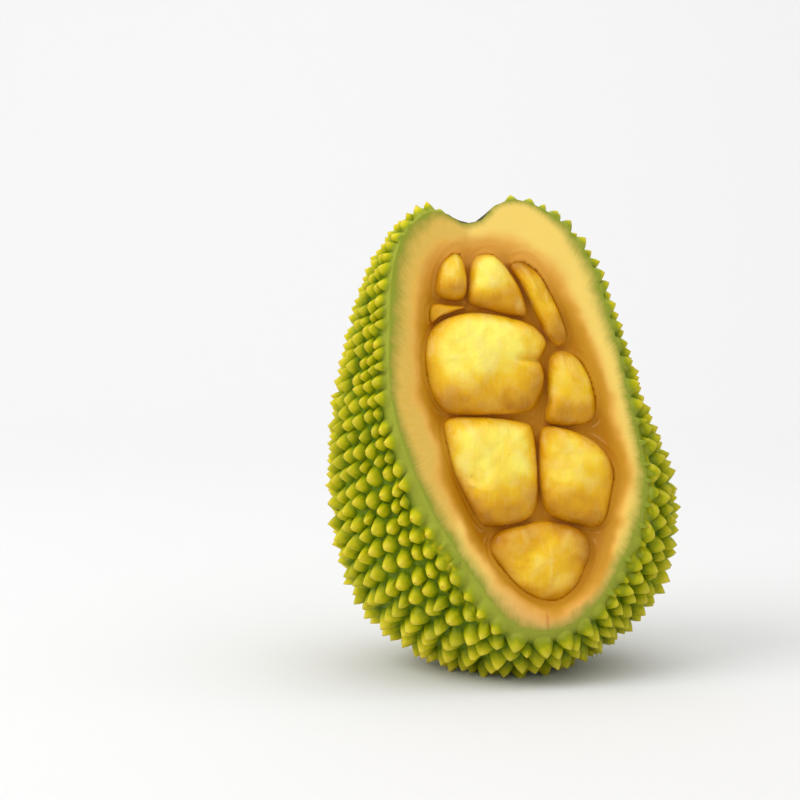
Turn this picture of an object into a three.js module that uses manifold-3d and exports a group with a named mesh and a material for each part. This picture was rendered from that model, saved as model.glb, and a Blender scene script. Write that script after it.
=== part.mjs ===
// A ripe jackfruit standing on end, with a slab sliced off its front so that the flesh and the arils show.
//
// Millimetres, +Z up. The origin is the middle of the small flat spot that the fruit stands on. The sliced
// side faces -Y, +X is to the right of someone who looks at it, and the stalk scar is at the top.
//
// The skin is a closed mesh of blunt spikes, one for each flower that the fruit grew from, in spiral order.
// Each aril is a plump bulb of its own, lying in a socket of the flesh.

import * as THREE from "three";
import { ConvexHull } from "three/addons/math/ConvexHull.js";
import { mergeVertices } from "three/addons/utils/BufferGeometryUtils.js";
import Module from "manifold-3d";

// ---------------------------------------------------------------- driving dimensions

// The fruit without its spikes. A level s runs from -1 at the foot to +1 at the stalk, and a turn is an
// angle round the fruit from the front, positive towards +X.
const FRUIT = {
  midHeight: 161,
  halfHeight: 157.5,
  halfWidth: 100,
  squareness: 2.2, // exponent of the upright outline: 2 is an ellipse
  taper: [1, -0.19, 0.034, 0.03], // width along the height, as a cubic in s
  frontDepth: [0.7, 0.085, 0.2], // depth of the front half over its width, as a square in s
  backDepth: 0.95,
  skew: [0.053, -0.123], // how far the front half slides to +X for each mm of its depth, linear in s
  middle: [-9, -15], // x and y of the fruit's axis at mid height
  leanX: -0.058, // sideways run of the axis for each mm of height
  footBack: 15, // how far the foot curves back under the weight
  headForward: 12, // and how far the head nods forward
};
// Broad swells: where they are, how wide, and how far they push the skin outwards and upwards.
const SWELLS = [
  { name: "right belly", level: -0.25, turn: 1.85, levelWidth: 0.28, turnWidth: 0.75, out: 13, up: 0 },
  { name: "drawn-in cheek", level: 0, turn: 1.05, levelWidth: 0.8, turnWidth: 0.5, out: -7, up: 0 },
  { name: "drawn-in brow", level: 0.55, turn: -1, levelWidth: 0.35, turnWidth: 0.4, out: -6, up: 0 },
  { name: "right shoulder", level: 0.86, turn: 1.6, levelWidth: 0.32, turnWidth: 0.8, out: 7, up: 11 },
  { name: "left shoulder", level: 0.86, turn: -1.5, levelWidth: 0.3, turnWidth: 0.8, out: 2, up: 3 },
  { name: "right heel", level: -0.66, turn: 1.8, levelWidth: 0.3, turnWidth: 0.65, out: 16, up: 0 },
  { name: "left heel", level: -0.75, turn: -1.7, levelWidth: 0.25, turnWidth: 0.7, out: 4, up: 0 },
  { name: "front heel", level: -0.84, turn: 0.1, levelWidth: 0.25, turnWidth: 0.65, out: 16, up: 0 },
];
// The dent round the stalk scar, longer from front to back, and the share of it that bears no spikes.
const STALK_PIT = { x: -25, y: -10, depth: 20, halfWidth: 17, halfLength: 38, bareShare: 1 };

const SPIKE = {
  pitch: 13.6, // from one spike to the next at the foot of the fruit
  height: 11.2, // there
  topCrowding: 0.9, // how much denser they stand at the stalk, where they are that much lower too
  heightSpread: 0.3, // of the height, from the shortest to the tallest
  jitter: 0.36, // of the pitch, out of the spiral's perfect order
  lean: 2.4, // the most that a tip is off its own axis
};

const SLICE = {
  centre: [4.5, -48, 177.5],
  yaw: 14, // of its outward normal, to +X
  tip: 12.2, // and upwards
  crowded: [-5, 4, 26], // spikes between the first and the last depth behind it crowd from the second on
  crowding: 1.4, // more than 1 crowds those next to it the most
  tipBehind: 1.2, // spikes that would stand in front of it are bent back this far behind it
};

// The hollow in the sliced flesh. Its outline is in the slice's plane, x right and y up from the centre. The
// wall's steps are how far inside the outline, and at what height over the plane, from the rim to the floor.
const HOLLOW = {
  outline: [
    [-52, 102], [-59, 65], [-62, 32], [-59, 8], [-50, -18], [-47, -42], [-38, -66],
    [-22, -95], [0, -121], [25, -129], [49, -113], [65, -80], [75, -44], [72, -16],
    [65, 12], [55, 42], [44, 74], [27, 101], [2, 113], [-30, 115],
  ],
  wall: [[-4, 0.5], [2, -3], [8, -9], [14, -12]],
};
// Arils: outline in the slice's plane, and how far they rise and sink from the floor of the hollow.
const ARIL = { level: -12, gap: 0.5, squareness: 2.5, sides: 24, risingRings: 4, sinkingRings: 3 };
const ARILS = [
  { name: "aril_top_left", rise: 11, sink: 14, outline: [
    [-46, 89], [-41, 103], [-33, 111], [-27, 107], [-24.5, 92], [-27, 79.5], [-36, 78.5],
    [-44.5, 82]] },
  { name: "aril_top_middle", rise: 12, sink: 16, outline: [
    [-12, 109], [-19, 105], [-22, 92], [-23.5, 77], [-12, 72], [7, 67], [15, 68.5], [12, 84], [4, 98],
    [-4, 107]] },
  { name: "aril_top_right", rise: 10, sink: 12, outline: [
    [7, 102.5], [14, 104.5], [25, 95.5], [34, 79], [40, 62], [42.5, 51], [37, 46.5], [31, 50],
    [25, 61], [19, 75], [12.5, 89], [7.5, 97]] },
  { name: "aril_left_sliver", rise: 8, sink: 8, outline: [
    [-51, 63], [-52, 72], [-47, 76], [-37, 75], [-26, 73.5], [-33, 71], [-44, 67.5]] },
  { name: "aril_large", rise: 15, sink: 20, outline: [
    [-42, 64.5], [-26, 69], [-7, 68], [9, 64], [21, 58], [27.5, 49], [23, 38], [24.5, 26], [21.5, 13],
    [12, 3.5], [-10, 2.5], [-40, 4], [-53, 19], [-57, 37], [-53, 54]] },
  { name: "aril_right", rise: 11, sink: 14, outline: [
    [40, 42.5], [30.5, 39], [28, 28], [27, 12], [25.5, -3.5], [42, -7], [58, -2.5], [59, 17],
    [51, 36]] },
  { name: "aril_lower_left", rise: 14, sink: 19, outline: [
    [-43, -1.5], [-19, 0], [8, -4], [15, -11], [16.5, -40], [11, -65], [-14, -71], [-25, -66],
    [-36, -43], [-45, -20]] },
  { name: "aril_lower_right", rise: 13, sink: 18, outline: [
    [22, -9.5], [38, -9.5], [58, -19], [69, -36], [67, -54], [59, -73], [43, -72.5], [22, -62],
    [19, -35]] },
  { name: "aril_bottom", rise: 12, sink: 16, outline: [
    [-16, -79.5], [-9, -74.5], [6, -71.5], [18, -69.5], [32, -72], [44, -76.5], [50, -87], [46, -102],
    [38, -114], [25, -122.5], [7, -118], [-9, -104], [-18, -91]] },
];

const COLOURS = { skin: "#93a02a", aril: "#e5b93c" };

// ---------------------------------------------------------------- small helpers

const wasm = await Module();
wasm.setup();

const GOLDEN_ANGLE = Math.PI * (3 - Math.sqrt(5));
const radians = (degrees) => (degrees * Math.PI) / 180;
const cubic = (k, s) => k.reduce((sum, factor, power) => sum + factor * s ** power, 0);

/** The same draw from 0 to 1 for the same pair of numbers, every time. */
function draw(index, stream) {
  const value = Math.sin(index * 12.9898 + stream * 78.233) * 43758.5453;
  return value - Math.floor(value);
}

/** A closed manifold-3d solid from vertices, [x, y, z] each, and triangles. */
function solid(vertices, triangles) {
  const mesh = { numProp: 3, vertProperties: new Float32Array(vertices.flat()) };
  return new wasm.Manifold(new wasm.Mesh({ ...mesh, triVerts: new Uint32Array(triangles.flat()) }));
}

/** A manifold-3d solid from a three.js geometry placed by a matrix. */
function solidFrom(geometry, matrix) {
  geometry.deleteAttribute("normal").deleteAttribute("uv");
  const merged = mergeVertices(geometry.applyMatrix4(matrix));
  return new wasm.Manifold(new wasm.Mesh({
    numProp: 3,
    vertProperties: merged.attributes.position.array,
    triVerts: new Uint32Array(merged.index.array),
  }));
}

/** The named mesh of one node. */
function node(name, shape, colour, roughness) {
  const { vertProperties, triVerts } = shape.getMesh();
  const geometry = new THREE.BufferGeometry();
  geometry.setAttribute("position", new THREE.BufferAttribute(vertProperties, 3));
  geometry.setIndex(new THREE.BufferAttribute(triVerts, 1));
  geometry.computeVertexNormals();
  const material = new THREE.MeshStandardMaterial({ color: colour, roughness, metalness: 0 });
  const mesh = new THREE.Mesh(geometry, material);
  mesh.name = name;
  return mesh;
}

// ---------------------------------------------------------------- the fruit's skin

/** The share of the full width that is left at a level, from 1 at mid height to 0 at both ends. */
const domeAt = (s) => (1 - Math.abs(s) ** FRUIT.squareness) ** (1 / FRUIT.squareness);

const halfWidthAt = (s) => FRUIT.halfWidth * domeAt(s) * cubic(FRUIT.taper, s);

/** How far to +X the fruit's axis is at a height. */
const axisX = (z) => FRUIT.middle[0] + FRUIT.leanX * (z - FRUIT.midHeight);

/** How far a place on the skin is from the stalk scar, in sizes of its dent. */
function fromStalk(s, x, y) {
  if (s < 0) return Infinity;
  return Math.hypot((x - STALK_PIT.x) / STALK_PIT.halfWidth, (y - STALK_PIT.y) / STALK_PIT.halfLength);
}

/** The point of the skin, without spikes, at a level and a turn. */
function skinAt(s, turn) {
  const half = halfWidthAt(s);
  let x = half * Math.sin(turn);
  let y = -half * Math.cos(turn);
  y *= y < 0 ? cubic(FRUIT.frontDepth, s) : FRUIT.backDepth;
  x -= cubic(FRUIT.skew, s) * Math.min(y, 0);
  let lift = 0;
  for (const swell of SWELLS) {
    const off = THREE.MathUtils.euclideanModulo(turn - swell.turn + Math.PI, 2 * Math.PI) - Math.PI;
    const share = Math.sqrt(domeAt(s)) *
      Math.exp(-(((s - swell.level) / swell.levelWidth) ** 2) - (off / swell.turnWidth) ** 2);
    x += swell.out * share * Math.sin(turn);
    y -= swell.out * share * Math.cos(turn);
    lift += swell.up * share;
  }
  const z = FRUIT.midHeight + FRUIT.halfHeight * s + lift;
  x += axisX(z);
  y += FRUIT.middle[1] + FRUIT.footBack * ((1 - s) / 2) ** 3 - FRUIT.headForward * ((1 + s) / 2) ** 3;
  return new THREE.Vector3(x, y, z - STALK_PIT.depth * Math.exp(-(fromStalk(s, x, y) ** 2)));
}

/** The outward normal of the skin there. */
function normalAt(s, turn) {
  const step = 1e-3;
  const level = THREE.MathUtils.clamp(s, -1 + 2 * step, 1 - 2 * step);
  const up = skinAt(level + step, turn).sub(skinAt(level - step, turn));
  const round = skinAt(level, turn + step).sub(skinAt(level, turn - step));
  return round.cross(up).normalize();
}

/** How many times denser than at the foot the spikes stand at a level. */
const crowdingAt = (s) => 1 + SPIKE.topCrowding * ((1 + s) / 2) ** 2;

/** The levels and turns of the spikes: a golden-angle spiral, evenly dense over the skin, then jittered. */
function spikeSeeds() {
  const steps = 400;
  const width = [];
  const area = [0];
  for (let k = 0; k <= steps; k++) width.push(halfWidthAt(-Math.cos((Math.PI * k) / steps)));
  const roundness = (1 + (FRUIT.frontDepth[0] + FRUIT.backDepth) / 2) / 2;
  for (let k = 0; k < steps; k++) {
    const low = -Math.cos((Math.PI * k) / steps);
    const high = -Math.cos((Math.PI * (k + 1)) / steps);
    const slant = Math.hypot(FRUIT.halfHeight * (high - low), width[k + 1] - width[k]);
    area.push(area[k] + Math.PI * roundness * (width[k] + width[k + 1]) * slant * crowdingAt(high));
  }
  const total = area[steps];
  const count = Math.round(total / (SPIKE.pitch ** 2 * Math.sqrt(3 / 4)));
  const seeds = [];
  for (let i = 0, k = 0; i < count; i++) {
    const wanted = ((i + 0.5) / count) * total;
    while (area[k + 1] < wanted) k++;
    const low = -Math.cos((Math.PI * k) / steps);
    const high = -Math.cos((Math.PI * (k + 1)) / steps);
    const s = low + ((high - low) * (wanted - area[k])) / (area[k + 1] - area[k]);
    const shift = (SPIKE.jitter * SPIKE.pitch) / Math.sqrt(crowdingAt(s));
    const around = Math.max(halfWidthAt(s), SPIKE.pitch);
    const steep = Math.max(Math.sqrt(1 - s * s), 0.1);
    const level = s + ((draw(i, 1) - 0.5) * shift * steep) / FRUIT.halfHeight;
    const turn = i * GOLDEN_ANGLE + ((draw(i, 2) - 0.5) * shift) / around;
    seeds.push(drawnBack(THREE.MathUtils.clamp(level, -0.9995, 0.9995), turn));
  }
  seeds[0].s = -1;
  return seeds;
}

/** The place of a seed: one near the slice is drawn back behind it, so that a row of spikes lines its rim. */
function drawnBack(s, turn) {
  const toSlice = sliceFrame().invert();
  const behindAt = (level, facing) => -skinAt(level, facing).applyMatrix4(toSlice).z;
  const [front, row, back] = SLICE.crowded;
  const behind = behindAt(s, turn);
  if (behind < front || behind > back) return { s, turn };
  const step = 1e-3;
  const around = Math.max(halfWidthAt(s), SPIKE.pitch);
  const below = Math.min(s, 1 - 2 * step);
  const upwards = (behindAt(below + step, turn) - behindAt(below, turn)) / step / FRUIT.halfHeight;
  const sideways = (behindAt(s, turn + step) - behind) / step / around;
  const wanted = row + (back - row) * ((behind - front) / (back - front)) ** SLICE.crowding;
  const way = (wanted - behind) / Math.max(upwards ** 2 + sideways ** 2, 0.35);
  const level = THREE.MathUtils.clamp(s + (way * upwards) / FRUIT.halfHeight, -0.9995, 0.9995);
  return { s: level, turn: turn + (way * sideways) / around };
}

/** A strictly convex stand-in for the skin, on which the hull of the seeds is their triangulation. */
const EVEN_WIDTH = FRUIT.halfWidth;
const onEgg = ({ s, turn }) => {
  const ring = EVEN_WIDTH * Math.sqrt(1 - s * s);
  return new THREE.Vector3(ring * Math.sin(turn), -ring * Math.cos(turn), FRUIT.halfHeight * s);
};
const offEgg = (p) => {
  const away = Math.hypot(p.x / EVEN_WIDTH, p.y / EVEN_WIDTH, p.z / FRUIT.halfHeight);
  return [p.z / FRUIT.halfHeight / away, Math.atan2(p.x, -p.y)];
};

/** The tip of the spike that stands on a seed: lower round the stalk scar, and kept behind the slice. */
function spikeTip(seed, index, toSlice) {
  const foot = skinAt(seed.s, seed.turn);
  const normal = normalAt(seed.s, seed.turn);
  const { bareShare } = STALK_PIT;
  const root = foot.clone().applyMatrix4(toSlice);
  const grown =
    THREE.MathUtils.smoothstep(fromStalk(seed.s, foot.x, foot.y), bareShare * 0.8, bareShare * 1.5) *
    (root.z < 0 ? 1 : 0) / crowdingAt(seed.s);
  const height = SPIKE.height * (1 + SPIKE.heightSpread * (draw(index, 3) - 0.5)) * grown;
  const side = new THREE.Vector3(draw(index, 4) - 0.5, draw(index, 5) - 0.5, draw(index, 6) - 0.5);
  side.projectOnPlane(normal);
  const tip = foot.addScaledVector(normal, height).addScaledVector(side, SPIKE.lean * grown);
  tip.applyMatrix4(toSlice);
  if (root.z < 0) tip.z = Math.min(tip.z, -SLICE.tipBehind);
  return tip.applyMatrix4(sliceFrame());
}

/** The whole fruit with all its spikes, before it is sliced: six triangles or so to a spike. */
function spikyFruit() {
  const seeds = spikeSeeds();
  const points = seeds.map(onEgg);
  const indexOf = new Map(points.map((point, i) => [point, i]));
  const toSlice = sliceFrame().invert();
  const tips = seeds.map((seed, i) => spikeTip(seed, i, toSlice));
  const hull = new ConvexHull().setFromPoints(points);
  const valleyOf = new Map();
  const valleys = hull.faces.map((face, f) => {
    valleyOf.set(face, tips.length + f);
    const corners = [face.edge, face.edge.next, face.edge.prev].map((edge) => edge.head().point);
    const [s, turn] = offEgg(corners[0].clone().add(corners[1]).add(corners[2]));
    return skinAt(s, turn);
  });
  const triangles = [];
  for (const face of hull.faces) {
    for (const edge of [face.edge, face.edge.next, face.edge.prev]) {
      triangles.push([indexOf.get(edge.tail().point), valleyOf.get(edge.twin.face), valleyOf.get(face)]);
    }
  }
  return solid([...tips, ...valleys].map((p) => p.toArray()), triangles);
}

// ---------------------------------------------------------------- the slice, its hollow and the arils

/** Places a shape of the slice's own frame: x right and y up in its plane, z outwards. */
function sliceFrame() {
  const yaw = radians(SLICE.yaw);
  const tip = radians(SLICE.tip);
  const level = Math.cos(tip);
  const out = new THREE.Vector3(Math.sin(yaw) * level, -Math.cos(yaw) * level, Math.sin(tip));
  const right = new THREE.Vector3(Math.cos(yaw), Math.sin(yaw), 0);
  const up = out.clone().cross(right);
  return new THREE.Matrix4().makeBasis(right, up, out).setPosition(...SLICE.centre);
}

/** Points evenly spaced in number along a smooth closed line through the corners. */
function smoothLoop(corners, count) {
  const points = corners.map(([x, y]) => new THREE.Vector3(x, y, 0));
  const line = new THREE.CatmullRomCurve3(points, true, "catmullrom");
  const loop = line.getPoints(count).slice(0, count);
  if (THREE.ShapeUtils.isClockWise(loop)) loop.reverse();
  return loop.map(({ x, y }) => [x, y]);
}

/** The middle of a loop's points, as x and y. */
function middleOf(loop) {
  const sum = loop.reduce(([x, y], point) => [x + point[0], y + point[1]], [0, 0]);
  return [sum[0] / loop.length, sum[1] / loop.length];
}

/** A solid of stacked loops with the same number of points, closed by a point below and one above. */
function stackedLoops(below, loops, above, frame) {
  const sides = loops[0].length;
  const vertices = [below, ...loops.flat(), above];
  const triangles = [];
  for (let k = 0; k < sides; k++) {
    const next = (k + 1) % sides;
    triangles.push([0, 1 + next, 1 + k]);
    for (let ring = 0; ring < loops.length - 1; ring++) {
      const low = 1 + ring * sides;
      const high = low + sides;
      triangles.push([low + k, low + next, high + next], [low + k, high + next, high + k]);
    }
    const top = 1 + (loops.length - 1) * sides;
    triangles.push([top + k, top + next, vertices.length - 1]);
  }
  const placed = vertices.map((p) => new THREE.Vector3(...p).applyMatrix4(frame).toArray());
  return solid(placed, triangles);
}

/** A closed loop shrunk towards its middle by about the same distance all round, at a height. */
function shrunk(loop, inset, height) {
  const [mx, my] = middleOf(loop);
  return loop.map(([x, y]) => {
    const keep = 1 - inset / Math.hypot(x - mx, y - my);
    return [mx + (x - mx) * keep, my + (y - my) * keep, height];
  });
}

/** The basin round the arils, wide at the slice and narrower on its floor. */
function hollowSolid(frame) {
  const loop = smoothLoop(HOLLOW.outline, 40);
  const loops = HOLLOW.wall.map(([inset, height]) => shrunk(loop, inset, height)).reverse();
  const [mx, my] = middleOf(loop);
  const [, floor] = HOLLOW.wall.at(-1);
  const [, rim] = HOLLOW.wall[0];
  return stackedLoops([mx, my, floor], loops, [mx, my, rim], frame);
}

/** One aril, or with a gap added all round, the room that it needs in the flesh. */
function arilSolid(aril, gap, frame) {
  const loop = smoothLoop(aril.outline, ARIL.sides);
  const [mx, my] = middleOf(loop);
  const ringAt = (angle, power, height) => {
    const ring = Math.cos(angle) ** (2 / power);
    const level = Math.sin(angle) ** (2 / power);
    return loop.map(([x, y]) => {
      const reach = Math.hypot(x - mx, y - my);
      const grow = (ring * (reach + gap)) / reach;
      return [mx + (x - mx) * grow, my + (y - my) * grow, ARIL.level + level * height];
    });
  };
  const loops = [];
  for (let k = ARIL.sinkingRings - 1; k >= 0; k--) {
    loops.push(ringAt((Math.PI / 2) * (k / ARIL.sinkingRings), 2, -(aril.sink + gap)));
  }
  for (let k = 1; k < ARIL.risingRings; k++) {
    loops.push(ringAt((Math.PI / 2) * (k / ARIL.risingRings), ARIL.squareness, aril.rise + gap));
  }
  const below = [mx, my, ARIL.level - aril.sink - gap];
  return stackedLoops(below, loops, [mx, my, ARIL.level + aril.rise + gap], frame);
}

/** The fruit with its slab sliced off, its flat spot, its hollow and a socket for each aril. */
function fruitBody(frame) {
  const far = 300; // longer than anything that is cut
  const slab = new THREE.BoxGeometry(2 * far, 2 * far, far);
  const floor = new THREE.BoxGeometry(2 * far, 2 * far, far);
  let body = spikyFruit()
    .subtract(solidFrom(slab, frame.clone().multiply(new THREE.Matrix4().makeTranslation(0, 0, far / 2))))
    .subtract(solidFrom(floor, new THREE.Matrix4().makeTranslation(0, 0, -far / 2)))
    .subtract(hollowSolid(frame));
  for (const aril of ARILS) body = body.subtract(arilSolid(aril, ARIL.gap, frame));
  const pieces = body.decompose().sort((a, b) => b.volume() - a.volume());
  return pieces[0];
}

// ---------------------------------------------------------------- the part

const jackfruit = new THREE.Group();
jackfruit.name = "jackfruit";
const frame = sliceFrame();
jackfruit.add(node("fruit_body", fruitBody(frame), COLOURS.skin, 0.55));
for (const aril of ARILS) jackfruit.add(node(aril.name, arilSolid(aril, 0, frame), COLOURS.aril, 0.4));

export default jackfruit;
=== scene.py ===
"""A ripe jackfruit on end, with a slab sliced off its front: its looks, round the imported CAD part.

Sizes are in millimetres and are turned into Blender's metres by MM where a mesh is made. The sliced side
faces -Y, +X is to the right of someone who looks at it, and the stalk scar is at the top.
"""

import math

import bmesh
import bpy
import numpy as np
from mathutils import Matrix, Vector
from mathutils.kdtree import KDTree


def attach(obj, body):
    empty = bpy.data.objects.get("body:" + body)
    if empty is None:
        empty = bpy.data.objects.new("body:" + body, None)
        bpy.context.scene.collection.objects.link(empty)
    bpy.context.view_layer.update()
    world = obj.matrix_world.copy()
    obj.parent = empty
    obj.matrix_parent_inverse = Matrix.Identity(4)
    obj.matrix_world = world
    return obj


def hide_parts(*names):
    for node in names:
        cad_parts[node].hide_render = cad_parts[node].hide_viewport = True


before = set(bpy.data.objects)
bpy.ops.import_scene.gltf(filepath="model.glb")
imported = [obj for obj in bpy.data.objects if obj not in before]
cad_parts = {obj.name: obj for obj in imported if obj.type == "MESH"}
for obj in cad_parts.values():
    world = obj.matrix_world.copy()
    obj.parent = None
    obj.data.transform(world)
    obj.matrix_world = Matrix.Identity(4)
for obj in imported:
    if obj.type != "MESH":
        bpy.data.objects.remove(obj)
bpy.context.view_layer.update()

MM = 0.001

# ---------------------------------------------------------------- the fruit's form, as in the CAD part

# The fruit without its spikes. A level runs from -1 at the foot to +1 at the stalk, and a turn is an angle
# round the fruit from the front, positive towards +X.
MID_HEIGHT = 161
HALF_HEIGHT = 157.5
HALF_WIDTH = 100
SQUARENESS = 2.2
TAPER = (1, -0.19, 0.034, 0.03)
FRONT_DEPTH = (0.7, 0.085, 0.2)
BACK_DEPTH = 0.95
SKEW = (0.053, -0.123)
MIDDLE = (-9, -15)
LEAN_X = -0.058
FOOT_BACK = 15
HEAD_FORWARD = 12
# Broad swells: level, turn, their widths in level and in turn, and the push outwards and upwards.
SWELLS = (
    (-0.25, 1.85, 0.28, 0.75, 13, 0),  # right belly
    (0, 1.05, 0.8, 0.5, -7, 0),  # drawn-in cheek
    (0.55, -1, 0.35, 0.4, -6, 0),  # drawn-in brow
    (0.86, 1.6, 0.32, 0.8, 7, 11),  # right shoulder
    (0.86, -1.5, 0.3, 0.8, 2, 3),  # left shoulder
    (-0.66, 1.8, 0.3, 0.65, 16, 0),  # right heel
    (-0.75, -1.7, 0.25, 0.7, 4, 0),  # left heel
    (-0.84, 0.1, 0.25, 0.65, 16, 0),  # front heel
)
STALK_PIT = {"x": -25, "y": -10, "depth": 20, "half_width": 17, "half_length": 38, "bare_share": 1}

LEVEL_STEPS = 400  # bands of the skin, for its area
NEAR_POLE = 0.9995  # the level past which no spike but the one at the foot stands
STEP = 1e-3  # of a level or a turn, for slopes of the skin
GOLDEN_ANGLE = math.pi * (3 - math.sqrt(5))

SPIKE_PITCH = 13.6
SPIKE_HEIGHT = 11.2
TOP_CROWDING = 0.9
SPIKE_HEIGHT_SPREAD = 0.3
SPIKE_JITTER = 0.36
SPIKE_LEAN = 2.4
# A spike's flank: share of the way out from its axis to its edge, and share of its height there.
SPIKE_FLANK = ((0.92, 0.02), (0.84, 0.16), (0.67, 0.43), (0.43, 0.7), (0.18, 0.89))
SPIKE_ROUNDNESS = 0.45  # 0 keeps the six sides of the cell, 1 makes a round cone
SPIKE_WIDEST = 0.64  # in spike pitches, from its axis to its edge

# The slice, whose frame is x right and y up in its plane and z outwards.
SLICE_CENTRE = (4.5, -48, 177.5)
SLICE_YAW = 14
SLICE_TIP = 12.2
CROWDED = (-5, 4, 26)  # spikes between the first and the last depth behind it crowd from the second on
CROWDING = 1.4  # more than 1 crowds those next to it the most
LEAST_SLOPE = 0.35  # keeps them from going far where the skin lies almost along the slice
TIP_BEHIND = 1.2  # spikes that would stand in front of it are bent back this far behind it
FLANK_BEHIND = 0.3  # and their flanks shrink to stay this far behind it
LEAST_SHARE = 0.3  # to no less than this share of their width
SLICED_THROUGH = 0.3  # where the skin faces it by less than this cosine, it slices through flanks instead

HOLLOW_OUTLINE = (
    (-52, 102), (-59, 65), (-62, 32), (-59, 8), (-50, -18), (-47, -42), (-38, -66),
    (-22, -95), (0, -121), (25, -129), (49, -113), (65, -80), (75, -44), (72, -16),
    (65, 12), (55, 42), (44, 74), (27, 101), (2, 113), (-30, 115),
)
WALL_TOP = -4  # how far inside the hollow's outline its wall starts to fall
WALL_FOOT = 14  # and where it reaches the floor
ARIL_LEVEL = -12
ARIL_SQUARENESS = 2.5
ARIL_SIDES = 24
ARIL_FULLNESS = 1.02  # ripe arils press against each other and the flesh
MOST_LUMP = 1.3  # how far an aril's lumps stand out at most
# Arils: rise and sink from the floor of the hollow, and the outline in the slice's plane.
ARILS = {
    "aril_top_left": (11, 14, (
        (-46, 89), (-41, 103), (-33, 111), (-27, 107), (-24.5, 92), (-27, 79.5), (-36, 78.5),
        (-44.5, 82))),
    "aril_top_middle": (12, 16, (
        (-12, 109), (-19, 105), (-22, 92), (-23.5, 77), (-12, 72), (7, 67), (15, 68.5), (12, 84),
        (4, 98), (-4, 107))),
    "aril_top_right": (10, 12, (
        (7, 102.5), (14, 104.5), (25, 95.5), (34, 79), (40, 62), (42.5, 51), (37, 46.5), (31, 50),
        (25, 61), (19, 75), (12.5, 89), (7.5, 97))),
    "aril_left_sliver": (8, 8, (
        (-51, 63), (-52, 72), (-47, 76), (-37, 75), (-26, 73.5), (-33, 71), (-44, 67.5))),
    "aril_large": (15, 20, (
        (-42, 64.5), (-26, 69), (-7, 68), (9, 64), (21, 58), (27.5, 49), (23, 38), (24.5, 26),
        (21.5, 13), (12, 3.5), (-10, 2.5), (-40, 4), (-53, 19), (-57, 37), (-53, 54))),
    "aril_right": (11, 14, (
        (40, 42.5), (30.5, 39), (28, 28), (27, 12), (25.5, -3.5), (42, -7), (58, -2.5), (59, 17),
        (51, 36))),
    "aril_lower_left": (14, 19, (
        (-43, -1.5), (-19, 0), (8, -4), (15, -11), (16.5, -40), (11, -65), (-14, -71), (-25, -66),
        (-36, -43), (-45, -20))),
    "aril_lower_right": (13, 18, (
        (22, -9.5), (38, -9.5), (58, -19), (69, -36), (67, -54), (59, -73), (43, -72.5), (22, -62),
        (19, -35))),
    "aril_bottom": (12, 16, (
        (-16, -79.5), (-9, -74.5), (6, -71.5), (18, -69.5), (32, -72), (44, -76.5), (50, -87), (46, -102),
        (38, -114), (25, -122.5), (7, -118), (-9, -104), (-18, -91))),
}
SOCKET_INSET = 1.4  # how far inside an aril's outline its socket starts, so that the flesh hugs it
# Folds (and with a minus depth ridges) that run over an aril: from, to, depth at the start, and width.
FOLDS = {
    "aril_large": (
        ((29, 37), (2, 37.5), 7.0, 2.4), ((20, 60), (3, 50), -1.2, 4), ((-15, 68), (-22, 44), -1.3, 2.6),
        ((7, 70), (4, 58), 3.0, 3), ((-44, 39), (-20, 41), -0.6, 2), ((-14, 28), (4, 6), 1.6, 3.5),
        ((24, 26), (8, 16), -0.8, 4)),
    "aril_lower_left": (
        ((-29, -39), (-16, -47), 1.8, 1.8), ((-30, -44), (-17, -51), -1.3, 1.8),
        ((-30, -4), (-14, -40), -0.8, 4), ((8, -8), (-10, -26), -0.7, 3.5), ((14, -20), (4, -30), 1.2, 2),
        ((0, -40), (10, -56), 0.9, 2.5)),
    "aril_lower_right": (
        ((24, -14), (30, -34), 1.0, 2.5), ((34, -12), (46, -44), -0.8, 4), ((22, -44), (36, -52), 0.8, 2.5),
        ((66, -50), (46, -48), 1.2, 3)),
    "aril_bottom": (
        ((20, -96), (19, -118), -1.1, 2), ((4, -76), (6, -90), -0.8, 3), ((34, -78), (24, -98), -0.7, 4),
        ((-4, -94), (12, -97), 0.8, 2)),
    "aril_top_middle": (
        ((-16, 100), (-6, 84), -1.0, 3), ((-2, 104), (6, 80), 0.8, 2.5), ((8, 72), (12, 80), -0.6, 3)),
    "aril_top_left": (((-32, 108), (-30, 90), -0.8, 2.5), ((-38, 100), (-41, 86), 0.7, 2.5)),
    "aril_top_right": (((12, 100), (26, 76), -0.7, 2), ((22, 88), (33, 62), 0.6, 2)),
    "aril_right": (((36, 40), (34, 12), -0.7, 3), ((48, 34), (50, 10), 0.7, 3), ((42, 4), (44, 20), 0.5, 3)),
    "aril_left_sliver": (),
}
# Painted light: where each aril is painted palest, as if lit: x and y in the slice's plane, how far round,
# and how pale there, from 0 to 1.
PAINTED_LIT_SPOT = {
    "aril_top_left": (-37, 99, 13, 0.6),
    "aril_top_middle": (-10, 94, 16, 1),
    "aril_top_right": (27, 78, 14, 0.45),
    "aril_left_sliver": (-45, 71, 8, 0.3),
    "aril_large": (-21, 48, 38, 1),
    "aril_right": (41, 20, 18, 0.55),
    "aril_lower_left": (-15, -28, 32, 0.95),
    "aril_lower_right": (38, -34, 26, 0.66),
    "aril_bottom": (17, -103, 17, 0.58),
}

# ---------------------------------------------------------------- small helpers


def clear_selection():
    if bpy.context.object and bpy.context.object.mode != "OBJECT":
        bpy.ops.object.mode_set(mode="OBJECT")
    bpy.ops.object.select_all(action="DESELECT")


def make_active(piece):
    clear_selection()
    piece.select_set(True)
    bpy.context.view_layer.objects.active = piece


def draw(index, stream):
    """The same draw from 0 to 1 for the same pair of numbers, every time."""
    value = math.sin(index * 12.9898 + stream * 78.233) * 43758.5453
    return value - math.floor(value)


def polynomial(factors, s):
    return sum(factor * s**power for power, factor in enumerate(factors))


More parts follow.
